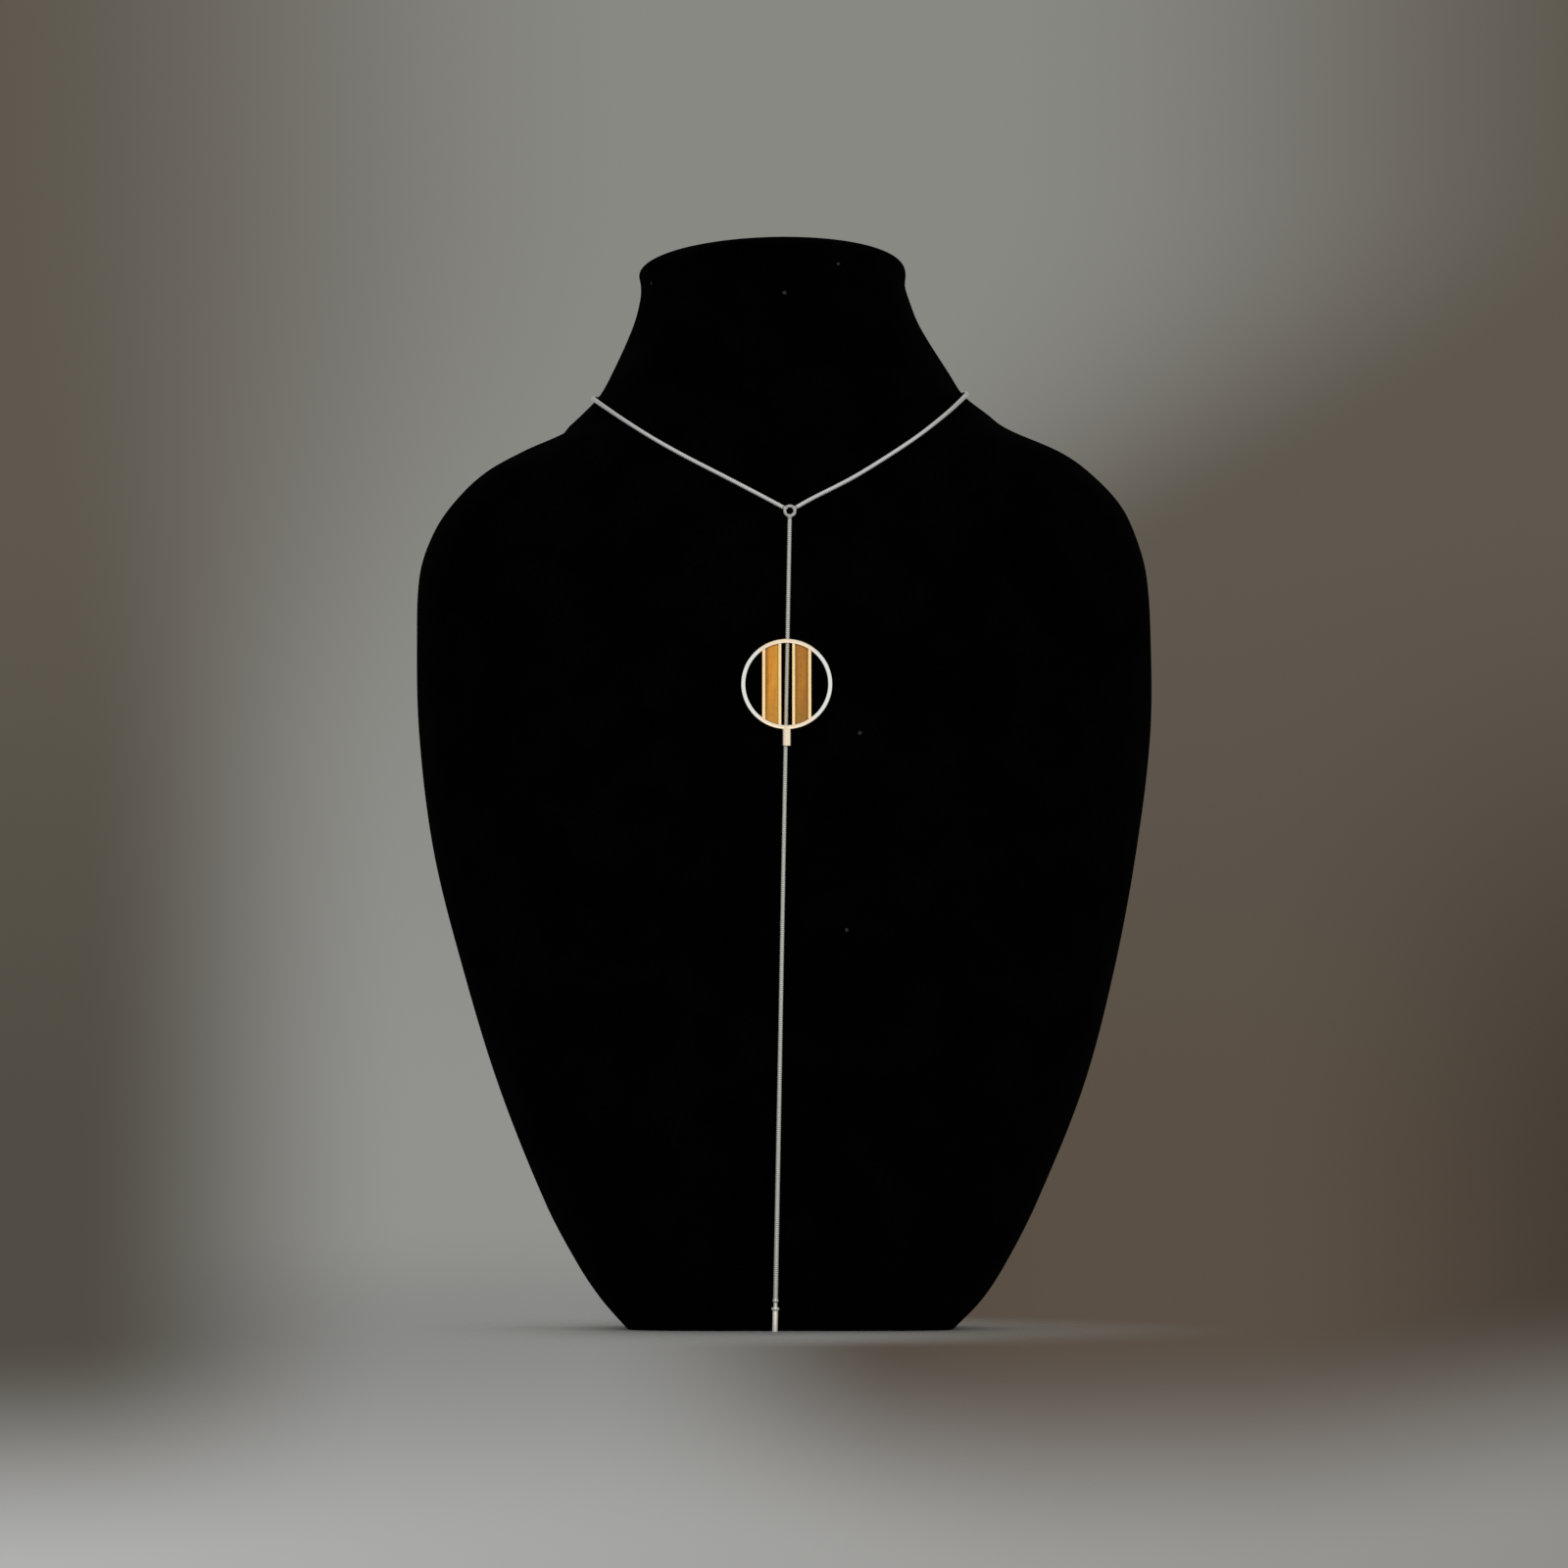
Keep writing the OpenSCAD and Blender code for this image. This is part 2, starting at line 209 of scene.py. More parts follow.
# Black flocked velvet, a short dense nylon pile glued on a moulded form: it swallows light,
# and a few flecks of lint lie on it. Its colour is mottled with a painted sheen, a faint grey
# where the pile tips lean
def blackVelvet():
    material, tree, surface = newMaterial("black flocked velvet")
    pileTuft = 0.5 * mm       # clumps of pile, drawn coarser than the real fibres so that they show
    pileDepth = 0.15 * mm
    brushedPatch = 26 * mm    # areas where the pile leans another way
    where = addNode(tree, "TexCoord").outputs["Object"]
    patch = addNode(tree, "TexNoise", {"Vector": where, "Scale": 1 / brushedPatch, "Detail": 3,
                                       "Roughness": 0.6}).outputs["Fac"]
    tuft = addNode(tree, "TexNoise", {"Vector": where, "Scale": 1 / pileTuft, "Detail": 2,
                                      "Roughness": 0.7}).outputs["Fac"]
    # painted sheen: the tone turns a faint grey where the pile leans
    lean = addNode(tree, "Math", [patch, tuft], operation="MULTIPLY").outputs[0]
    tone = addNode(tree, "ValToRGB", [lean],
                   stops=[(0.12, "#000000"), (0.3, "#020202"), (0.5, "#060606")]).outputs["Color"]
    nap = addNode(tree, "Bump", {"Strength": 0.5, "Distance": pileDepth, "Height": tuft})
    feed(tree, surface, {"Base Color": withLint(tree, where, tone), "Normal": nap.outputs["Normal"],
                         "Roughness": 1.0, "Specular IOR Level": 0.0, "Sheen Weight": 0.003,
                         "Sheen Roughness": 0.5})
    return material


lint = {
    "colour": "#30302f",
    "tangle": 0.8,         # size of the bends along a fleck's edge
    "ragged": 0.9,         # how far that edge strays
    "core": 0.6,           # part of the radius that is fully covered
    # bearing from the front, height, radius
    "flecks": [(31.9, 426.6, 0.85), (-68.1, 423.8, 0.8), (4.1, 413.1, 0.95), (22.4, 233.2, 0.9),
               (17.7, 156.1, 0.9)],
}


# Flecks of grey cotton lint: each covers what lies nearer to its spot than its radius,
# measured from places that a fine noise has shifted
def withLint(tree, where, tone):
    stray = addNode(tree, "TexNoise", {"Vector": where, "Scale": 1 / (lint["tangle"] * mm),
                                       "Detail": 2}).outputs["Color"]
    offset = addNode(tree, "VectorMath", [stray, [2 * lint["ragged"] * mm] * 3],
                     operation="MULTIPLY").outputs[0]
    ragged = addNode(tree, "VectorMath", [where, offset], operation="ADD").outputs[0]
    for bearing, height, radius in lint["flecks"]:
        spot = (bustPoint(np.array(bearing), np.array(height)) + lint["ragged"]) * mm
        far = addNode(tree, "VectorMath", [ragged, spot.tolist()],
                      operation="DISTANCE").outputs["Value"]
        core = lint["core"] * radius
        cover = addNode(tree, "MapRange", [far, radius * mm, core * mm]).outputs[0]
        tone = addNode(tree, "Mix", {0: cover, 6: tone, 7: lint["colour"]},
                       data_type="RGBA").outputs[2]
    return tone


# Silver metal: polish leaves fine marks in the gloss. In a chain the grooves between the plates
# keep a darker skin, which the mesh marks with its own attribute. Beside the stones it carries a
# painted warm reflection of the amber stones, and on the end tube the flare and the waist above
# the polished barrel are painted darker: painted shade
def silver(name, colour, gloss, grooved=None, paintedReflection=None, paintedShade=None):
    material, tree, surface = newMaterial(name)
    markSize, markDepth = 0.35 * mm, 0.01 * mm
    handling = 0.05           # how far the marks move the gloss either way
    where = addNode(tree, "TexCoord").outputs["Object"]
    marks = addNode(tree, "TexNoise", {"Vector": where, "Scale": 1 / markSize, "Detail": 4,
                                       "Roughness": 0.65}).outputs["Fac"]
    shine = addNode(tree, "MapRange", [marks, 0, 1, gloss - handling, gloss + handling]).outputs[0]
    share = None
    if grooved:
        share, other = addNode(tree, "Attribute", attribute_name="seam").outputs["Fac"], grooved
    elif paintedReflection:
        # painted warm reflection of the amber stones
        share, other = besideStones(tree, where, paintedReflection), paintedReflection["colour"]
    elif paintedShade:
        # painted shade: the end tube's flare and waist are darker
        z = addNode(tree, "SeparateXYZ", [where]).outputs["Z"]
        share = addNode(tree, "MapRange", [z, paintedShade["from"], paintedShade["to"]], **smooth).outputs[0]
        other = paintedShade["colour"]
    if share:
        colour = addNode(tree, "Mix", {0: share, 6: colour, 7: other}, data_type="RGBA").outputs[2]
    bump = addNode(tree, "Bump", {"Strength": 0.12, "Distance": markDepth, "Height": marks})
    feed(tree, surface, {"Base Color": colour, "Roughness": shine,
                         "Normal": bump.outputs["Normal"], "Metallic": 1.0})
    return material


# How much of the painted amber reflection the metal takes: full on the strips beside the stones,
# fading sideways past them, and only a part of it on the band, which lies further than the strips
# from the middle
def besideStones(tree, where, paintedReflection):
    x = addNode(tree, "SeparateXYZ", [where]).outputs["X"]
    off = addNode(tree, "Math", [x, paintedReflection["middle"][0]], operation="SUBTRACT").outputs[0]
    far = addNode(tree, "Math", [off], operation="ABSOLUTE").outputs[0]
    near = addNode(tree, "MapRange", [far, paintedReflection["half"] + paintedReflection["fade"], paintedReflection["half"]],
                   **smooth).outputs[0]
    flat = addNode(tree, "VectorMath", [where, (1, 0, 1)], operation="MULTIPLY").outputs[0]
    reach = addNode(tree, "VectorMath", [flat, paintedReflection["middle"]],
                    operation="DISTANCE").outputs["Value"]
    onBand = addNode(tree, "MapRange", [reach, paintedReflection["bandIn"] - paintedReflection["bandFade"], paintedReflection["bandIn"],
                                        1, paintedReflection["bandPart"]]).outputs[0]
    return addNode(tree, "Math", [near, onBand], operation="MULTIPLY").outputs[0]


stone = {
    "fibre": 0.3 * mm,
    "band": 1.6 * mm,
    "cloud": 2.5 * mm,
    "grainDepth": 0.02 * mm,
    "upright": (1, 1, 0.1),          # fibres and bands are ten times as long upright
    "fibreShare": 0.3,               # the rest is bands
    "cloudShare": 0.4,               # the rest is fibres and bands
    "sideFrom": 0.3,                 # part of the half width where the sides' tones begin
    "sideShare": 0.8,                # and how much they tint the edge
    "lower": (-2 * mm, -15 * mm),    # heights from the middle where the lower tone begins and ends
    "lowerShare": 0.5,
}


# Golden tiger's eye, sawn along its fibres and polished: silky upright bands, clouded across,
# under a clear gloss, with another tone along its left edge, its right edge and its lower end,
# partly the stone's own colour and partly painted shade of the recess beside the strips
def tigersEye(name, tones, edges, centre, half):
    material, tree, surface = newMaterial(name)
    where = addNode(tree, "TexCoord").outputs["Object"]
    own = addNode(tree, "VectorMath", [where, centre], operation="SUBTRACT").outputs[0]
    long = addNode(tree, "VectorMath", [own, stone["upright"]], operation="MULTIPLY").outputs[0]
    fibres = addNode(tree, "TexNoise", {"Vector": long, "Scale": 1 / stone["fibre"], "Detail": 3,
                                        "Roughness": 0.6}).outputs["Fac"]
    bands = addNode(tree, "TexNoise", {"Vector": long, "Scale": 1 / stone["band"], "Detail": 2,
                                       "Distortion": 0.3}).outputs["Fac"]
    clouds = addNode(tree, "TexNoise", {"Vector": own, "Scale": 1 / stone["cloud"], "Detail": 5,
                                        "Roughness": 0.7}).outputs["Fac"]
    silk = addNode(tree, "Mix", {0: stone["fibreShare"], 2: bands, 3: fibres}).outputs[0]
    mixed = addNode(tree, "Mix", {0: stone["cloudShare"], 2: silk, 3: clouds}).outputs[0]
    tone = addNode(tree, "ValToRGB", [mixed],
                   stops=[(0.3, tones[0]), (0.5, tones[1]), (0.7, tones[2])]).outputs["Color"]
    x, _, z = addNode(tree, "SeparateXYZ", [own]).outputs
    start, most = stone["sideFrom"] * half, stone["sideShare"]
    # edge and lower-end tones: partly the stone's colour, partly painted shade
    for tint, colour in (([x, -start, -half, 0, most], edges[0]),
                         ([x, start, half, 0, most], edges[1]),
                         ([z, *stone["lower"], 0, stone["lowerShare"]], edges[2])):
        share = addNode(tree, "MapRange", tint, **smooth).outputs[0]
        tone = addNode(tree, "Mix", {0: share, 6: tone, 7: colour}, data_type="RGBA").outputs[2]
    grain = addNode(tree, "Bump", {"Strength": 0.15, "Distance": stone["grainDepth"],
                                   "Height": fibres})
    feed(tree, surface, {"Base Color": tone, "Normal": grain.outputs["Normal"], "Roughness": 0.3,
                         "Specular IOR Level": 0.35})
    return material


# Camera: low in front of the bust and tipped up, as the photograph was taken

camera = {
    "place": (0.2, -1592.1, 58),   # millimetres
    "tipUp": 5.795,                # degrees
    "lens": 90.45,                 # millimetres, for a picture of this width
    "width": 36,
}
cameraData = bpy.data.cameras.new("camera")
cameraData.lens = camera["lens"]
cameraData.sensor_width = camera["width"]
cameraObject = bpy.data.objects.new("camera", cameraData)
cameraObject.location = [c * mm for c in camera["place"]]
cameraObject.rotation_euler = (math.radians(90 + camera["tipUp"]), 0, 0)
bpy.context.scene.collection.objects.link(cameraObject)
bpy.context.scene.camera = cameraObject
print("camera placed")


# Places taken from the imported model: the drop's line, the ring and the pendant's middle.
# The drop's box is a leaning cylinder's. It is as deep as the chain is thick, and its half
# height is half the chain's length * the axis' z + the chain's radius * the axis' x

def middle(node):
    low, high = (np.array(corner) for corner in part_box(node))
    return (low + high) / 2 / mm, (high - low) / mm


dropUp = unitRows(np.array(frame["joints"][0]["axis"], float))
dropRight = unitRows(np.cross([0, 1, 0], dropUp))
dropMiddle, dropSize = middle("drop_chain")
chainR = dropSize[1] / 2
dropHalf = (dropSize[2] / 2 - chainR * dropUp[0]) / dropUp[2]
stubEnd = 3.0                # from the ring's middle to the end of a solder stub
buttGap = 0.1                # and on to the chain's own end
ringCentre = dropMiddle + (dropHalf + stubEnd + buttGap) * dropUp
pendantMiddle, pendantSize = middle("pendant_frame")
bandR = pendantSize[0] / 2
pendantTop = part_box("pendant_frame")[1][2] / mm
pendantCentre = np.array([pendantMiddle[0], ringCentre[1], pendantTop - bandR])
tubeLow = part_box("end_tube")[0][2] / mm


# Neck bust

bust = {
    # height, half width, sideways shift, front depth, back depth, squareness
    "sections": [
        (0, 65.3, 2.8, 26.0, 44.0, 4.20), (12, 76.5, 3.3, 37.0, 47.0, 3.40),
        (26, 86.0, 3.2, 46.0, 50.0, 2.90), (50, 98.8, 3.0, 56.0, 53.0, 2.50),
        (97, 118.1, 3.1, 66.5, 57.0, 2.35), (144, 131.9, 2.1, 71.5, 59.0, 2.30),
        (192, 142.8, 0.6, 72.0, 60.0, 2.30), (240, 149.1, 0.5, 72.0, 60.0, 2.30),
        (280, 150.0, 0.1, 72.0, 60.0, 2.30), (306, 148.7, -0.2, 72.0, 59.0, 2.30),
        (322, 143.9, 0.2, 71.8, 58.0, 2.30), (334, 137.1, 1.1, 70.0, 57.0, 2.30),
        (346, 125.5, 1.6, 66.5, 56.0, 2.30), (354, 113.0, 3.0, 63.5, 55.0, 2.30),
        (362, 95.2, 2.6, 60.5, 54.0, 2.25), (366, 89.8, 0.9, 59.2, 53.5, 2.22),
        (370, 85.3, 0.6, 58.0, 53.0, 2.20), (379, 75.8, -0.7, 55.5, 52.3, 2.10),
        (389, 69.8, -1.2, 53.5, 51.5, 2.05), (409, 59.4, -2.9, 50.5, 50.0, 2.00),
        (421, 55.5, -3.7, 49.2, 49.2, 2.00), (427, 54.6, -4.4, 48.6, 48.8, 2.00),
        (431, 55.1, -4.6, 49.4, 49.5, 2.00),
    ],
    "spineY": 7.9,
    "crownRise": 11,
    "crownPower": 2.35,    # roundness of the crown's edge
    "crownLean": 10,       # its peak leans to the right
    "columns": 256,
    "rowStep": 1.9,        # measured down its side
    "sideSamples": 2000,   # for measuring it
    "crownRows": 26,
    "footRound": 0.6,
    "footRows": 4,
}


# Section at height z: a smooth cubic through each column of the table, whose slope at a row
# is the rise between its neighbours
def bustSection(z):
    table = np.array(bust["sections"], float)
    level = table[:, 0]
    lower = np.maximum(np.arange(len(level)) - 1, 0)
    upper = np.minimum(np.arange(len(level)) + 1, len(level) - 1)
    slope = (table[upper] - table[lower]) / (level[upper] - level[lower])[:, None]
    i = np.clip(np.searchsorted(level, z, side="right") - 1, 0, len(level) - 2)
    h = (level[i + 1] - level[i])[..., None]
    t = (z - level[i])[..., None] / h
    value = ((2 * t ** 3 - 3 * t * t + 1) * table[i] + (t ** 3 - 2 * t * t + t) * h * slope[i]
             + (3 * t * t - 2 * t ** 3) * table[i + 1] + (t ** 3 - t * t) * h * slope[i + 1])
    return np.moveaxis(value[..., 1:], -1, 0)


# Point at a bearing from the front: the section is a superellipse, so its reach is
# (|sin a / half width| ^ n + |cos a / depth| ^ n) ^ (-1 / n)
def bustPoint(bearing, z):
    half, shift, front, back, square = bustSection(z)
    a = np.radians(bearing)
    depth = np.where(np.cos(a) > 0, front, back)
    across, along = np.abs(np.sin(a)) / half, np.abs(np.cos(a)) / depth
    reach = (across ** square + along ** square) ** (-1 / square)
    return np.stack([shift + reach * np.sin(a), bust["spineY"] - reach * np.cos(a), z], -1)


# Way off the velvet, square to the lines through points half a degree or millimetre away
def bustNormal(bearing, z, step=0.5):
    along = bustPoint(bearing + step, z) - bustPoint(bearing - step, z)
    rise = bustPoint(bearing, z + step) - bustPoint(bearing, z - step)
    return unitRows(np.cross(along, rise))


# Rings of the bust: x = shift + lean + k * half * sin(a) ^ (2 / n) and
# y = spine - k * depth * cos(a) ^ (2 / n), with k falling to nothing over the crown
def makeBust():
    top = bust["sections"][-1][0]
    a = np.linspace(0, 2 * np.pi, bust["columns"], endpoint=False)
    level = np.linspace(0, top, bust["sideSamples"])
    steps = np.hypot(np.diff(level), np.diff(bustSection(level)[0]))
    outline = np.concatenate([[0], np.cumsum(steps)])
    rows = round(outline[-1] / bust["rowStep"]) + 1
    wall = np.interp(np.linspace(0, outline[-1], rows), outline, level)[1:]
    rise = np.sin(np.linspace(0, np.pi / 2, bust["crownRows"] + 1)[1:])
    turn = np.linspace(0, np.pi / 2, bust["footRows"], endpoint=False)
    foot = bust["footRound"]
    power = bust["crownPower"]
    # the first ring is the middle of the underside, then the foot's edge, the wall and the crown
    heights = np.concatenate([[0], foot * (1 - np.cos(turn)), wall, top + bust["crownRise"] * rise])
    inset = np.concatenate([[0], foot * (1 - np.sin(turn)), 0 * wall, 0 * rise])
    k = np.concatenate([[0], 1 + 0 * turn, 1 + 0 * wall, (1 - rise ** power) ** (1 / power)])
    lean = np.concatenate([[0], 0 * turn, 0 * wall, bust["crownLean"] * rise ** 2])
    heights, inset, k, lean = (v[:, None] for v in (heights, inset, k, lean))
    half, shift, front, back, square = bustSection(np.minimum(heights, top))
    depth = np.where(np.cos(a) > 0, front, back)
    sine, cosine = (np.sign(v) * np.abs(v) ** (2 / square) for v in (np.sin(a), np.cos(a)))
    x = shift + lean + k * (half - inset) * sine
    y = bust["spineY"] - k * (depth - inset) * cosine
    mesh = gridMesh("bust_velvet", np.stack(np.broadcast_arrays(x, y, heights), -1), capped=False)
    mergePoles(mesh)
    piece = makeObject("bust_velvet", mesh, blackVelvet())
    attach(piece, "display")
    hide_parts("neck_bust")


makeBust()
print("bust made")


# Snake chain

chain = {
    "restGap": 0.35,       # from the velvet to the chain
    "linkPitch": 0.8,
    "wavePeaks": 4,        # each plate's edge goes up and down four times round
    "waveReach": 0.16,     # as a part of the pitch
    "ridge": 0.02,
    "calmLinks": 2,        # over which the waves die out at an end
    "grooveDepth": 0.1,    # as a part of the radius
    # place in a link from 0 to 1, and how deep in the groove
    "linkRows": [(0.0, 1.0), (0.09, 0.45), (0.26, 0.1), (0.6, 0.0), (0.88, 0.35)],
    "columns": 24,
    "lineSteps": 60,       # between two places of a route
    "dropPlaces": 400,     # along the drop
    "colour": "#d2d2d2",
    # the drop's copy of the chain colour, painted darker: painted shade
    "dropShadedColour": "#c2c2bb",
    "seam": "#7c7a73",
    "seamPower": 1.5,      # keeps the dark skin to the groove's bottom
    "gloss": 0.33,
}

# bearing from the front, height, extra lift off the velvet
leftRoute = [
    (-9, 327.6, 0.2), (-20, 334.9, 0.1), (-31, 342.7, 0.1), (-42, 351.0, 0.2), (-54, 360.6, 0.25),
    (-68, 371.2, 0.1), (-84, 377.7, 0.1), (-98, 381.6, 0.1), (-113, 384.9, 0.1), (-128, 387.6, 0.1),
    (-142, 389.8, 0.1), (-153, 391.2, 0.3), (-163, 392.0, 1.0), (-170, 392.1, 1.25),
]
rightRoute = [
    (9, 325.7, 0.2), (20, 333.5, 0.1), (30, 342.0, 0.1), (40, 352.1, 0.2), (52, 362.7, 0.25),
    (66, 372.4, 0.1), (84, 379.6, 0.1), (98, 383.2, 0.1), (113, 386.2, 0.1), (128, 388.6, 0.1),
    (142, 390.5, 0.1), (153, 391.6, 0.3), (163, 392.0, 1.0), (170, 392.1, 1.25),
]

clasp = {"height": 392, "length": 11, "diameter": 4, "cup": 2.4, "straight": 0.6}


# Uniform Catmull-Rom curve through the rows of a table, a number of steps to each stretch
def throughRows(rows, steps):
    rows = np.array(rows, float)
    place = np.linspace(0, len(rows) - 1, (len(rows) - 1) * steps + 1)
    i = np.minimum(place.astype(int), len(rows) - 2)
    t = (place - i)[:, None]
    p0, p1, p2, p3 = (rows[np.clip(i + k, 0, len(rows) - 1)] for k in (-1, 0, 1, 2))
    return 0.5 * (2 * p1 + (p2 - p0) * t + (2 * p0 - 5 * p1 + 4 * p2 - p3) * t ** 2
                  + (3 * p1 - p0 - 3 * p2 + p3) * t ** 3)


def backOfNeck():
    bearing, height = np.array(180.0), np.array(float(clasp["height"]))
    normal = bustNormal(bearing, height)
    lift = chain["restGap"] + clasp["diameter"] / 2
    return bustPoint(bearing, height) + lift * normal, normal


def routePoints(route):
    bearing, height, lift = np.array(route, float).T
    normal = bustNormal(bearing, height)
    return bustPoint(bearing, height) + (chain["restGap"] + chainR + lift)[:, None] * normal, normal


def towardsRing(route):
    return unitRows(routePoints(route)[0][0] - ringCentre)


# Centre line of a neck strand and the way off the velvet along it, from the ring to the clasp,
# where it runs straight for a little before it goes into the cup
def strandLine(route):
    points, normals = routePoints(route)
    claspCentre, claspOut = backOfNeck()
    ends = [claspCentre + [np.sign(route[0][0]) * (clasp["length"] / 2 + past), 0, 0]
            for past in (clasp["straight"], buttGap - clasp["cup"])]
    start = ringCentre + (stubEnd + buttGap) * towardsRing(route)
    line = np.concatenate([[start], points, ends])
    outs = np.concatenate([[[0, -1, 0]], normals, [claspOut, claspOut]])
    return throughRows(line, chain["lineSteps"]), throughRows(outs, chain["lineSteps"])


# Skin of the chain: a tube whose rows follow the wavy edges of the plates. A point lies at
# s = (link + place in link) * pitch + reach * cos(peaks * a) along the line, and its distance
# from the line is radius * (1 - groove depth) * (1 + ridge * cos(peaks * a))
def makeChain(name, node, line, outs, material):
    stretch = np.linalg.norm(np.diff(line, axis=0), axis=1)
    arc = np.concatenate([[0], np.cumsum(stretch)])
    length = arc[-1]
    links = round(length / chain["linkPitch"])
    pitch = length / links
    place, depth = np.array(chain["linkRows"]).T
    s = np.append((np.arange(links)[:, None] + place).ravel() * pitch, length)
    groove = np.append(np.tile(depth, links), 1.0)
    a = np.linspace(0, 2 * np.pi, chain["columns"], endpoint=False)
    wave = np.cos(chain["wavePeaks"] * a)
    calm = np.clip(np.minimum(s, length - s) / (chain["calmLinks"] * pitch), 0, 1)[:, None]
    along = s[:, None] + calm * chain["waveReach"] * pitch * wave

    def atPlace(values):
        return np.stack([np.interp(along, arc, v) for v in values.T], -1)

    tangent = unitRows(atPlace(np.gradient(line, arc, axis=0)))
    out = atPlace(outs)
    out = unitRows(out - (out * tangent).sum(-1, keepdims=True) * tangent)
    side = np.cross(tangent, out)
    sunk = 1 - chain["grooveDepth"] * groove[:, None]
    radius = (chainR * sunk * (1 + chain["ridge"] * calm * wave))[..., None]
    points = atPlace(line) + radius * (np.cos(a)[:, None] * out + np.sin(a)[:, None] * side)
    mesh = gridMesh(name, points)
    seam = mesh.attributes.new("seam", "FLOAT", "POINT")
    dark = np.repeat(groove ** chain["seamPower"], chain["columns"])
    seam.data.foreach_set("value", dark.astype(np.float32))
    piece = makeObject(name, mesh, material)
    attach(piece, "display")
    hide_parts(node)
    print(name, links, "links,", len(mesh.polygons), "faces")


chainSilver = silver("rhodium-plated snake chain", chain["colour"], chain["gloss"],
                     grooved=chain["seam"])
# The drop's silver is the strands' silver painted darker: painted shade
shadedDropSilver = silver("rhodium-plated snake chain, drop, painted darker", chain["dropShadedColour"], chain["gloss"],
                    grooved=chain["seam"])
makeChain("strand_left", "neck_chain_left", *strandLine(leftRoute), chainSilver)
makeChain("strand_right", "neck_chain_right", *strandLine(rightRoute), chainSilver)
dropPlaces = np.linspace(dropHalf, -dropHalf, chain["dropPlaces"])[:, None]
makeChain("drop_snake_chain", "drop_chain", dropMiddle + dropPlaces * dropUp,
          np.tile([0.0, -1.0, 0.0], (len(dropPlaces), 1)), shadedDropSilver)


# Junction ring

ring = {
    "outer": 5.4,
    "wire": 1.5,
    "stub": 0.9,
    "stubRoot": 0.5,       # how far a stub runs into the wire
    "flare": 0.1,          # how much wider than the wire it comes out
    "collar": 0.06,        # and how much wider than the chain it ends
    "stubRound": 0.15,
    "solder": 0.22,        # how much the solder thickens the wire
    "solderSpan": 0.3,     # radians
    "ownJoint": 318,       # degrees, where the ring itself was closed
    "rows": 96,
    "columns": 32,
    "voxel": 0.06,
    "flow": 0.5,           # how much each pass evens the solder out
    "flowPasses": 10,
}


# Ring of wire: centre = ring middle + r * (cos u, sin u), wire radius swelling as
# 1 + solder * exp(-(distance along u / span) ^ 2) at each joint. The stubs are turned
# and fused with it
def makeRing(material):
    ways = [towardsRing(leftRoute), towardsRing(rightRoute), -dropUp]
    joints = [math.atan2(way[2], way[0]) for way in ways] + [math.radians(ring["ownJoint"])]
    u = np.linspace(0, 2 * np.pi, ring["rows"], endpoint=False)
    v = np.linspace(0, 2 * np.pi, ring["columns"], endpoint=False)
    apart = np.abs((u[:, None] - joints + np.pi) % (2 * np.pi) - np.pi)
    swell = 1 + (ring["solder"] * np.exp(-(apart / ring["solderSpan"]) ** 2)).sum(1)
    spoke = np.stack([np.cos(u), 0 * u, np.sin(u)], -1)
    thick = swell[:, None] * spoke
    deep = swell[:, None] * [0.0, -1.0, 0.0]
    wire = ring["wire"] / 2 * np.stack([np.cos(v), np.sin(v)], -1)
    centres = ringCentre + (ring["outer"] - ring["wire"]) / 2 * spoke
    parts = [gridMesh("ring_wire", sweep(centres, thick, deep, wire), ringPath=True)]
    wide, narrow, stub = chainR + ring["collar"], ring["wire"] / 2, ring["stub"]
    root = stub + ring["stubRoot"]
    profile = softened([(0, -root), (narrow, -root), (narrow + ring["flare"], -stub),
                        (wide, -stub / 2), (wide, 0), (0, 0)], ring["stubRound"])
    for way in ways:
        turned = lathe(profile, ringCentre + stubEnd * way, way, ring["columns"])
        parts.append(gridMesh("ring_stub", turned, capped=False))
    piece = makeObject("junction_ring_soldered", joined("junction_ring_soldered", parts), material)
    remesh = piece.modifiers.new("fuse", "REMESH")
    remesh.mode = "VOXEL"
    remesh.voxel_size = ring["voxel"] * mm
    flow = piece.modifiers.new("solder flow", "SMOOTH")
    flow.iterations = ring["flowPasses"]
    flow.factor = ring["flow"]
    applyModifiers(piece)
    dress(piece, material)
    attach(piece, "display")
    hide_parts("junction_ring")
    print("ring made,", len(piece.data.polygons), "faces")


# The ring's silver is painted much darker than the other silver parts: painted shade
makeRing(silver("soldered silver wire", "#a8a6a3", 0.24))


# End tube and clasp, both turned

endTube = {
    # radius, height from the lower end
    "profile": [
        (0, 0), (1.05, 0), (1.05, 8.1), (1.55, 8.55), (1.55, 9.3), (1.45, 9.4),
        (0.8, 9.4), (0.8, 11.3), (1.15, 11.5), (1.15, 12.6), (1.01, 12.6), (1.01, 11.6), (0, 11.6),
    ],
    "soften": 0.16,
    "lean": 0.02,          # how much lower its leaning edge reaches than its axis
    # painted shade on the flare and the waist; from and to are heights above the table
    "paintedShadeTop": {"colour": "#c2c0b6", "from": 8.6 * mm, "to": 11.4 * mm},
}
clasp["soften"] = 0.12
# radius, distance from the middle of the right half
claspHalf = [
    (1.75, 0), (1.75, 0.2), (2.0, 0.4), (2.0, 3.4), (1.7, 3.7), (1.7, 5.3), (1.5, 5.5), (1.05, 5.5),
    (1.05, 3.1), (0, 3.1),
]
claspProfile = [(r, -x) for r, x in claspHalf[:0:-1]] + claspHalf
turnedColumns = 64


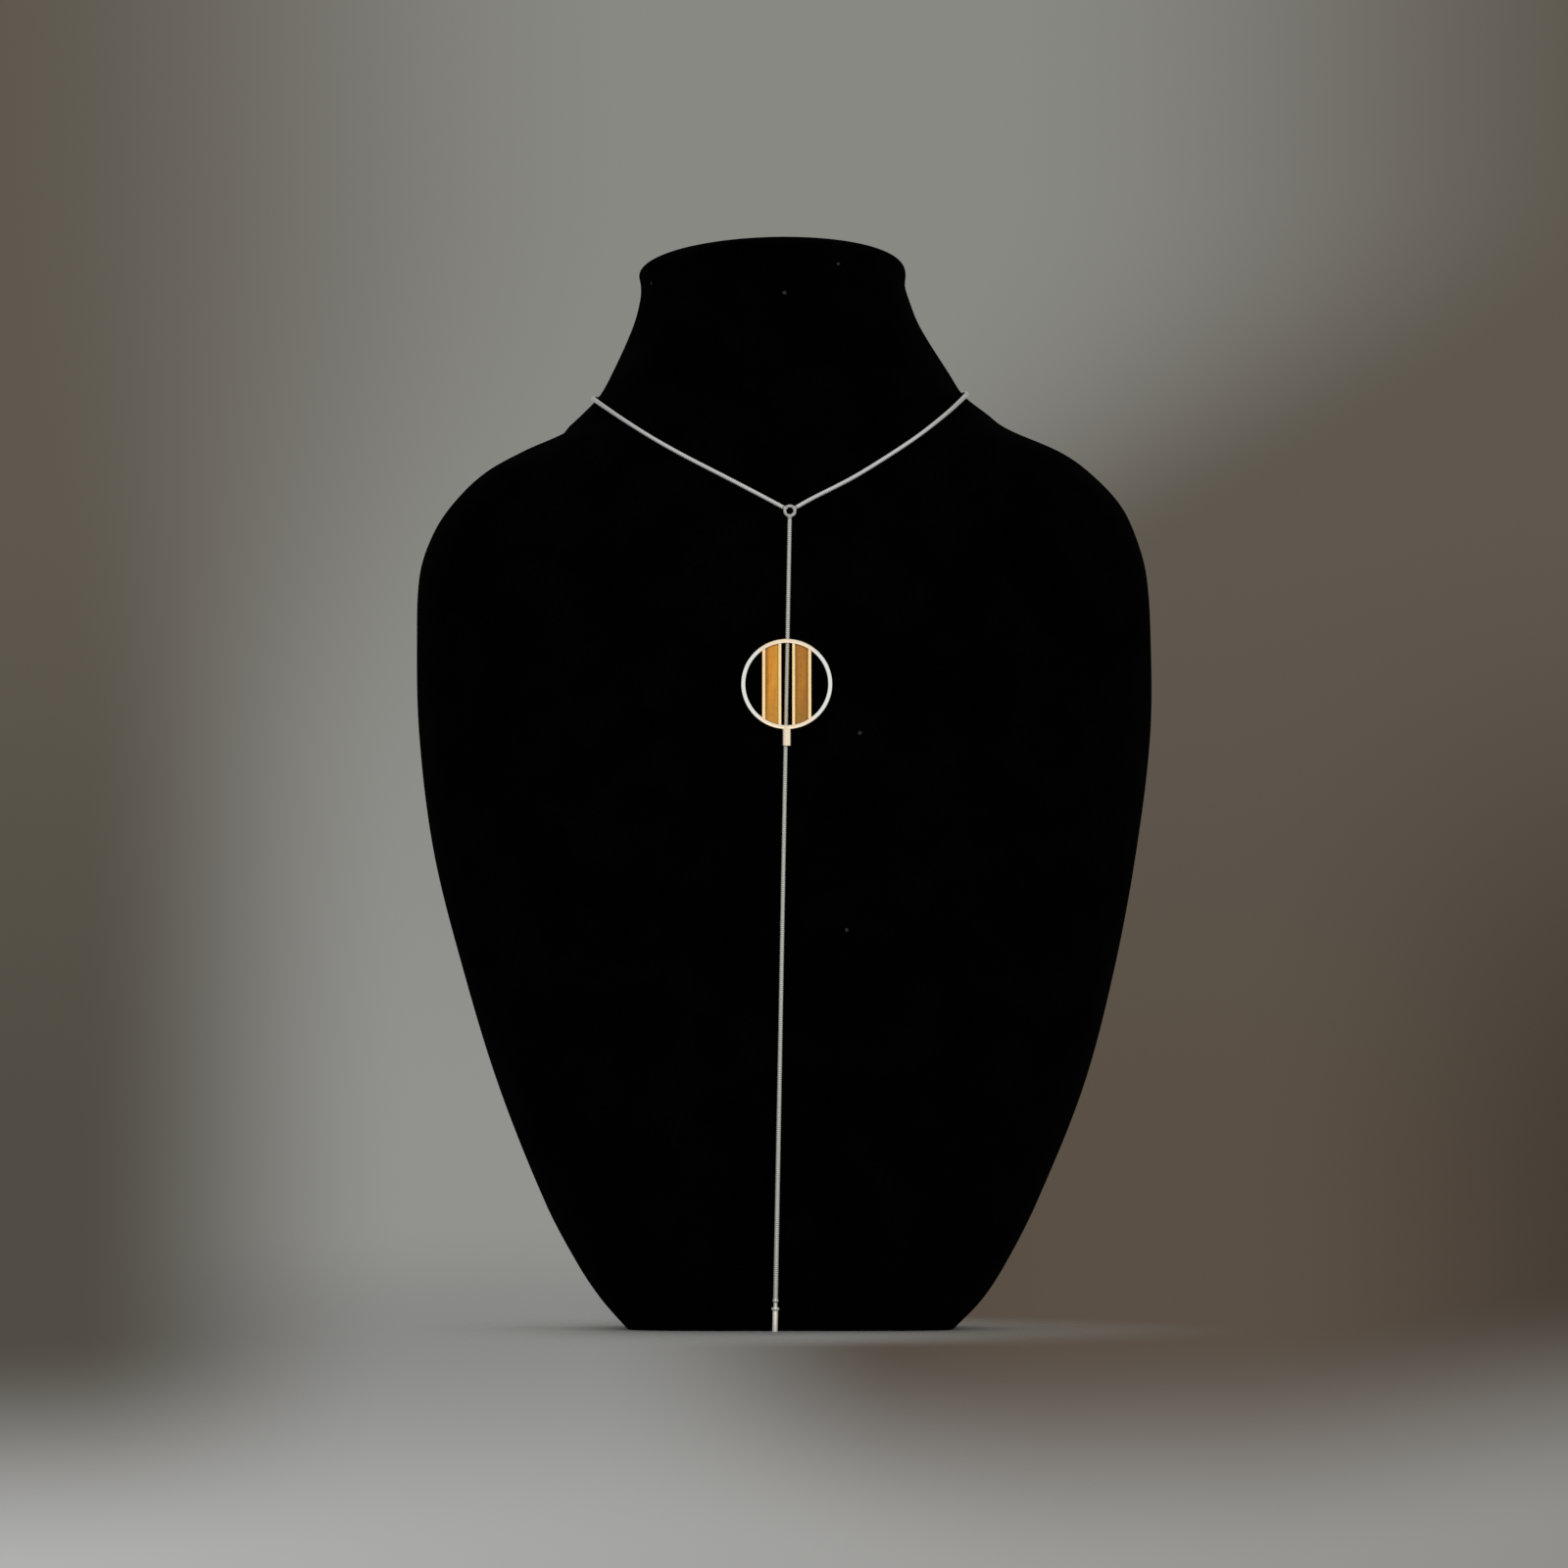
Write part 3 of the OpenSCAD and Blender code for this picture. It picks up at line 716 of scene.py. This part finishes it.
def makeTurned(name, node, profile, soften, base, axis, material):
    turned = lathe(softened(profile, soften), base, axis, turnedColumns)
    mesh = gridMesh(name, turned, capped=False)
    mergePoles(mesh)
    piece = makeObject(name, mesh, material)
    mesh.set_sharp_from_angle(angle=math.radians(40))
    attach(piece, "display")
    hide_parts(node)


tubeSilver = silver("brushed sterling silver", "#fffaef", 0.3, paintedShade=endTube["paintedShadeTop"])
tubeLength = (ringCentre[2] - tubeLow - endTube["lean"]) / dropUp[2]
makeTurned("end_tube_turned", "end_tube", endTube["profile"], endTube["soften"],
           ringCentre - tubeLength * dropUp, dropUp, tubeSilver)
claspSilver = silver("rhodium-plated cast silver", "#d6d2c9", 0.24)
makeTurned("clasp_turned", "clasp", claspProfile, clasp["soften"], backOfNeck()[0],
           (1.0, 0.0, 0.0), claspSilver)
print("end tube and clasp made")


# Pendant, laid out from its middle with x to the right, y to the back and z up

pendant = {
    "bandWidth": 1.7, "bandDepth": 3.2, "bandRound": 0.42, "bandColumns": 192,
    "slotHalf": 2.1, "innerStrip": 1.2, "channel": 5.0, "outerStrip": 1.3,
    "stripDepth": 2.8, "stripRound": 0.26,
    "plateDepth": 0.5, "plateBack": 1.3, "plateRound": 0.02,
    "gripDiameter": 3.9, "gripLength": 6.5, "gripRound": 0.22,
    "bore": 2.2, "boreColumns": 48,
    "boreEnds": (9, 3),    # how far below and above the band it is cut
    "intoBand": 0.7,       # how far the strips run into the band
    "plateShort": 0.1,     # how much less far the plates do
    "intoGap": 0.3,        # how far the grip stands out inside it
}


# Places points by the pendant's middle, either plumb or with z up the chain, which leans a little
def onPendant(points, plumb=True):
    right, up = (np.array([1, 0, 0]), np.array([0, 0, 1])) if plumb else (dropRight, dropUp)
    x, y, z = (points[..., k:k + 1] for k in range(3))
    return pendantCentre + x * right + y * [0, 1, 0] + z * up


def roundedBox(width, depth, soften):
    w, d = width / 2, depth / 2
    return softened([(-w, -d), (w, -d), (w, d), (-w, d)], soften, steps=5, closed=True)


# Upright bar of a section whose ends follow the band: z = t * sqrt(reach ^ 2 - x ^ 2), with
# t = sin(turn), so that its rows lie closer near the ends
def uprightBar(loop, middleX, middleY, reach, steps=24):
    x, y = (loop + [middleX, middleY]).T
    t = np.sin(np.linspace(-np.pi / 2, np.pi / 2, steps))[:, None]
    z = t * np.sqrt(reach ** 2 - x ** 2)
    return np.stack(np.broadcast_arrays(x, y, z), -1)


# Band, strips, back plates and grip tube, fused into one, and the bore for the chain cut
# through them along the chain's own line
def makeFrame(material):
    bandIn = bandR - pendant["bandWidth"]
    u = np.linspace(0, 2 * np.pi, pendant["bandColumns"], endpoint=False)
    spoke = np.stack([np.cos(u), 0 * u, np.sin(u)], -1)
    deep = np.tile([0.0, -1.0, 0.0], (len(u), 1))
    band = sweep((bandIn + bandR) / 2 * spoke, spoke, deep,
                 roundedBox(pendant["bandWidth"], pendant["bandDepth"], pendant["bandRound"]))
    gripR, boreR = pendant["gripDiameter"] / 2, pendant["bore"] / 2
    gripLow, gripHigh = -bandR - pendant["gripLength"], -bandIn - pendant["intoGap"]
    gripLoop = softened([(boreR, gripLow), (gripR, gripLow), (gripR, gripHigh), (boreR, gripHigh)],
                        pendant["gripRound"], closed=True)
    grip = lathe(gripLoop, (0, 0, 0), (0, 0, 1), turnedColumns)
    grids = [("band", band, True), ("grip", grip, True)]
    reach = bandIn + pendant["intoBand"]
    plateWidth = pendant["channel"] + pendant["innerStrip"]
    plateLoop = roundedBox(plateWidth, pendant["plateDepth"], pendant["plateRound"])
    plateY = pendant["plateBack"] - pendant["plateDepth"] / 2
    innerX = pendant["slotHalf"] + pendant["innerStrip"] / 2
    channelX = pendant["slotHalf"] + pendant["innerStrip"] + pendant["channel"] / 2
    outerX = channelX + pendant["channel"] / 2 + pendant["outerStrip"] / 2
    for side in (-1, 1):
        for label, x in (("innerStrip", innerX), ("outerStrip", outerX)):
            loop = roundedBox(pendant[label], pendant["stripDepth"], pendant["stripRound"])
            grids.append((label, uprightBar(loop, side * x, 0, reach), False))
        plate = uprightBar(plateLoop, side * channelX, plateY, reach - pendant["plateShort"])
        grids.append(("plate", plate, False))
    parts = []
    for label, grid, ringPath in grids:
        mesh = gridMesh("frame_" + label, onPendant(grid), ringPath)
        faceOutwards(mesh)
        parts.append(bpy.data.objects.new("frame_" + label, mesh))
    below, above = pendant["boreEnds"]
    boreLow, boreHigh = -bandR - below, bandR + above
    boreProfile = np.array([(0, boreLow), (boreR, boreLow), (boreR, boreHigh), (0, boreHigh)])
    bore = lathe(boreProfile, (0, 0, 0), (0, 0, 1), pendant["boreColumns"])
    borer = gridMesh("frame_bore", onPendant(bore, plumb=False), capped=False)
    mergePoles(borer)
    parts.append(bpy.data.objects.new("frame_bore", borer))
    piece, *helpers = parts
    bench = bpy.data.collections.new("pendant parts")
    bpy.context.scene.collection.children.link(bench)
    for part in helpers:
        bench.objects.link(part)
    piece.name = "pendant_frame_soldered"
    bpy.context.scene.collection.objects.link(piece)
    for part in helpers:
        step = piece.modifiers.new(part.name, "BOOLEAN")
        step.operation = "DIFFERENCE" if part.name == "frame_bore" else "UNION"
        step.solver = "EXACT"
        step.object = part
    applyModifiers(piece)
    for part in helpers:
        bpy.data.objects.remove(part)
    bpy.data.collections.remove(bench)
    mergePoles(piece.data, reach=2e-6)
    dress(piece, material)
    piece.data.set_sharp_from_angle(angle=math.radians(35))
    weighted = piece.modifiers.new("flat faces", "WEIGHTED_NORMAL")
    weighted.keep_sharp = True
    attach(piece, "pendant")
    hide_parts("pendant_frame")
    print("pendant frame made,", len(piece.data.polygons), "faces")


stripsHalf = (pendant["slotHalf"] + pendant["innerStrip"] + pendant["channel"]
              + pendant["outerStrip"])
# Painted warm reflection of the amber stones: full on the strips, in part on the band and the grip
amberReflection = {
    "colour": "#f7d79f",
    "middle": (pendantCentre * [1, 0, 1] * mm).tolist(),
    "half": stripsHalf * mm,
    "fade": 2.2 * mm,
    "bandIn": (bandR - pendant["bandWidth"]) * mm,
    "bandFade": 0.3 * mm,
    "bandPart": 0.5,
}
makeFrame(silver("polished sterling silver", "#dfdedb", 0.22, paintedReflection=amberReflection))


inlay = {
    "fit": 0.05,
    "front": 1.0,          # the stones lie a little below the strips
    "back": 0.75,
    "crown": 0.14,
    "edge": 0.3,
    "backEdge": 0.1,
    "columns": 13,         # across the front
    "columnCut": 0.02,
    "rows": 70,
    "leftTones": ["#bc6c0c", "#e29216", "#f8ae20"],
    # edge tones: partly the stone's own colour, partly painted shade beside the strips
    "leftEdges": ["#90580e", "#cca038", "#c08e24"],
    "rightTones": ["#965a04", "#ba7606", "#cc890c"],
    "rightEdges": ["#9a6a12", "#9a5a0c", "#9c7014"],
}


# Slab with soft front edges, crowned by crown * (1 - (x / half) ^ 2). Within an edge's width of
# its ends the front falls back by edge * (1 - sqrt(1 - over ^ 2)), over rising to 1 at the end
def makeInlay(name, node, side, tones, edges):
    reach = bandR - pendant["bandWidth"] - inlay["fit"]
    half, edge = pendant["channel"] / 2 - inlay["fit"], inlay["edge"]
    middleX = side * (pendant["slotHalf"] + pendant["innerStrip"] + pendant["channel"] / 2)
    corners = [(x, -inlay["front"]) for x in np.linspace(-half, half, inlay["columns"])]
    corners += [(half, inlay["back"]), (-half, inlay["back"])]
    cuts = [inlay["columnCut"]] * (inlay["columns"] - 2)
    cuts = [edge, *cuts, edge, inlay["backEdge"], inlay["backEdge"]]
    loop = softened(corners, cuts, closed=True)
    inFront = loop[:, 1] < 0
    loop[:, 1] -= inFront * inlay["crown"] * (1 - (loop[:, 0] / half) ** 2)
    points = uprightBar(loop, middleX, 0, reach, inlay["rows"])
    toEnd = points[-1, :, 2] - np.abs(points[..., 2])
    over = np.clip(1 - toEnd / edge, 0, 1)
    points[..., 1] += inFront * edge * (1 - np.sqrt(1 - over ** 2))
    mesh = gridMesh(name, onPendant(points))
    faceOutwards(mesh)
    centre = ((pendantCentre + [middleX, 0, 0]) * mm).tolist()
    material = tigersEye("tiger's eye, " + name, tones, edges, centre, half * mm)
    piece = makeObject(name, mesh, material)
    mesh.set_sharp_from_angle(angle=math.radians(40))
    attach(piece, "pendant")
    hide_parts(node)


makeInlay("stone_left", "inlay_left", -1, inlay["leftTones"], inlay["leftEdges"])
makeInlay("stone_right", "inlay_right", 1, inlay["rightTones"], inlay["rightEdges"])
print("stones made")


# Studio: a pale table, darker to the right with painted shade, a soft grey room and large lights

studio = {
    "tableRadius": 12.0,
    "tableColumns": 128,
    "tableFades": (0.06, 0.19),      # metres from the bust, where the table melts into the room
    "tableLeft": "#a6a6a4",
    "tableShadedRight": "#7c776e",
    "tableTurns": (0.0, 0.12),       # metres to the right, where the painted shade comes in
    # place, size, power; each points at the pendant's height
    "lights": {
        "key": ((-1.6, -1.6, 1.2), 2.3, 6.5),
        "fill": ((1.7, -1.4, 0.9), 2.1, 8.0),
        "overhead": ((0.0, -0.3, 1.9), 2.0, 6.0),
        "frontCard": ((0.0, -2.6, 0.75), 2.2, 6.5),
        "lowCard": ((-0.05, -1.35, 0.03), 0.4, 1.0),
    },
    "aim": (0.0, 0.0, 0.22),
}

# Directions are given by their sines: x is 0 straight behind the bust and z is 0 on the horizon
room = {
    "rise": (0.1, 0.25),             # z between which the bright middle drifts and widens
    "drift": (-0.073, 0.008),
    "spread": (0.5, 1.0),
    "nearRight": 0.092,              # x of the painted shadow beside the bust's right side
    "floorTilt": -0.04,              # the floor's far edge rises to the left
    "floorSag": 0.012,               # and lies lower behind that painted shadow
    # where each part of the room begins to show, and where it shows in full
    "fades": {
        "sides": (0.038, 0.208),     # off the bright middle
        "low": (0.18, 0.0),          # towards the horizon
        "foot": (-0.008, -0.035),
        "right": (-0.05, 0.05),
        "beside": (0.127, 0.018),    # near the painted shadow
        "floor": (-0.03, -0.09),
        "aside": (0.21, 0.32),       # off to both sides
        "away": (0.93, 0.86),        # up, round and behind the camera, by y
    },
    "floorTurns": (-0.2, 0.2),       # x, from the floor's left tone to its right one, painted darker: painted shade
    "tones": {
        "middle": "#898984",
        "glow": "#92928e",           # low behind the bust
        "footTone": "#888886",       # and under that, level with its foot
        "side": "#5e584e",
        "leftLow": "#514d44",
        "rightLow": "#443b32",
        # painted shadow beside the bust's right side
        "rightPaintedShadow": "#5a5046",
        "floorLeft": "#b2b2b1",      # where the floor comes forward
        # painted shade: the floor darker to the right
        "floorShadedRight": "#8f8e8a",
        "walls": "#bcbcb9",          # beside, above and behind the camera
    },
    # new tone, the share of the second one in it, its first and its second tone
    "mixes": [
        ("floorTone", "across", "floorLeft", "floorShadedRight"),
        ("middle", "low", "middle", "glow"), ("middle", "foot", "middle", "footTone"),
        ("sideLow", "right", "leftLow", "rightLow"), ("sideLow", "beside", "sideLow", "rightPaintedShadow"),
        ("side", "low", "side", "sideLow"), ("backdrop", "sides", "middle", "side"),
        ("ahead", "floor", "backdrop", "floorTone"), ("all", "outside", "ahead", "walls"),
    ],
}


# Table that turns clear far away, by a smooth step of the distance from the bust. Its colour
# darkens towards the right: painted shade
def paleTable():
    material, tree, surface = newMaterial("matt laminate table")
    where = addNode(tree, "TexCoord").outputs["Object"]
    x = addNode(tree, "SeparateXYZ", [where]).outputs["X"]
    # painted shade: the table darkens towards the right
    tableShadeShare = addNode(tree, "MapRange", [x, *studio["tableTurns"]], **smooth).outputs[0]
    tone = addNode(tree, "Mix", {0: tableShadeShare, 6: studio["tableLeft"], 7: studio["tableShadedRight"]},
                   data_type="RGBA").outputs[2]
    feed(tree, surface, {"Base Color": tone, "Roughness": 0.7})
    reach = addNode(tree, "VectorMath", [where], operation="LENGTH").outputs["Value"]
    clear = addNode(tree, "MapRange", [reach, *studio["tableFades"]], **smooth).outputs[0]
    glass = addNode(tree, "BsdfTransparent").outputs[0]
    mixed = addNode(tree, "MixShader", [clear, surface.outputs[0], glass]).outputs[0]
    feed(tree, tree.nodes["Material Output"], {"Surface": mixed})
    return material


# Room light by direction, as a soft backdrop inside pale walls. The backdrop stands straight behind
# the bust and fades out at its sides. It is brightest in its middle, which drifts left and narrows
# towards the horizon, and melts below it into the floor. A darker patch beside the bust's right
# side, reaching down into the floor, is a painted shadow, and the floor is painted darker to the
# right
def softRoom():
    world = bpy.data.worlds.new("room")
    world.use_nodes = True
    tree = world.node_tree
    way = addNode(tree, "TexCoord").outputs["Generated"]
    x, y, z = addNode(tree, "SeparateXYZ", [way]).outputs
    drift, spread = (addNode(tree, "MapRange", [z, *room["rise"], *room[key]], **smooth).outputs[0]
                     for key in ("drift", "spread"))
    off = {}
    for key, middleX in (("middle", drift), ("nearRight", room["nearRight"]), ("ahead", 0.0)):
        apart = addNode(tree, "Math", [x, middleX], operation="SUBTRACT").outputs[0]
        off[key] = addNode(tree, "Math", [apart], operation="ABSOLUTE").outputs[0]
    fromMiddle = addNode(tree, "Math", [off["middle"], spread], operation="DIVIDE").outputs[0]
    fades, shares = room["fades"], {}
    for key, source in (("sides", fromMiddle), ("low", z), ("foot", z), ("right", x),
                        ("beside", off["nearRight"]), ("aside", off["ahead"]), ("away", y)):
        shares[key] = addNode(tree, "MapRange", [source, *fades[key]], **smooth).outputs[0]
    tilted = addNode(tree, "Math", [x, room["floorTilt"], z], operation="MULTIPLY_ADD").outputs[0]
    edge = addNode(tree, "Math", [shares["beside"], room["floorSag"], tilted],
                   operation="MULTIPLY_ADD").outputs[0]
    shares["floor"] = addNode(tree, "MapRange", [edge, *fades["floor"]], **smooth).outputs[0]
    shares["outside"] = addNode(tree, "Math", [shares["aside"], shares["away"]],
                                operation="MAXIMUM").outputs[0]
    shares["across"] = addNode(tree, "MapRange", [x, *room["floorTurns"]]).outputs[0]
    tones = dict(room["tones"])
    for name, key, first, second in room["mixes"]:
        tones[name] = addNode(tree, "Mix", {0: shares[key], 6: tones[first], 7: tones[second]},
                              data_type="RGBA").outputs[2]
    feed(tree, tree.nodes["Background"], {"Color": tones["all"]})
    return world


def makeStudio():
    a = np.linspace(0, 2 * np.pi, studio["tableColumns"], endpoint=False)
    rim = np.stack([np.cos(a), np.sin(a), 0 * a], -1) * studio["tableRadius"]
    mesh = bpy.data.meshes.new("table")
    mesh.from_pydata(rim.tolist(), [], [list(range(len(rim)))])
    makeObject("table", mesh, paleTable())
    bpy.context.scene.world = softRoom()
    for label, (place, size, power) in studio["lights"].items():
        data = bpy.data.lights.new(label, "AREA")
        data.size = size
        data.energy = power
        light = bpy.data.objects.new(label, data)
        light.location = place
        way = np.array(studio["aim"]) - place
        light.rotation_euler = (math.atan2(np.hypot(way[0], way[1]), -way[2]), 0,
                                math.atan2(way[1], way[0]) - math.pi / 2)
        light.visible_camera = False
        bpy.context.scene.collection.objects.link(light)
    bpy.context.scene.view_settings.view_transform = "Standard"


makeStudio()
print("studio made")
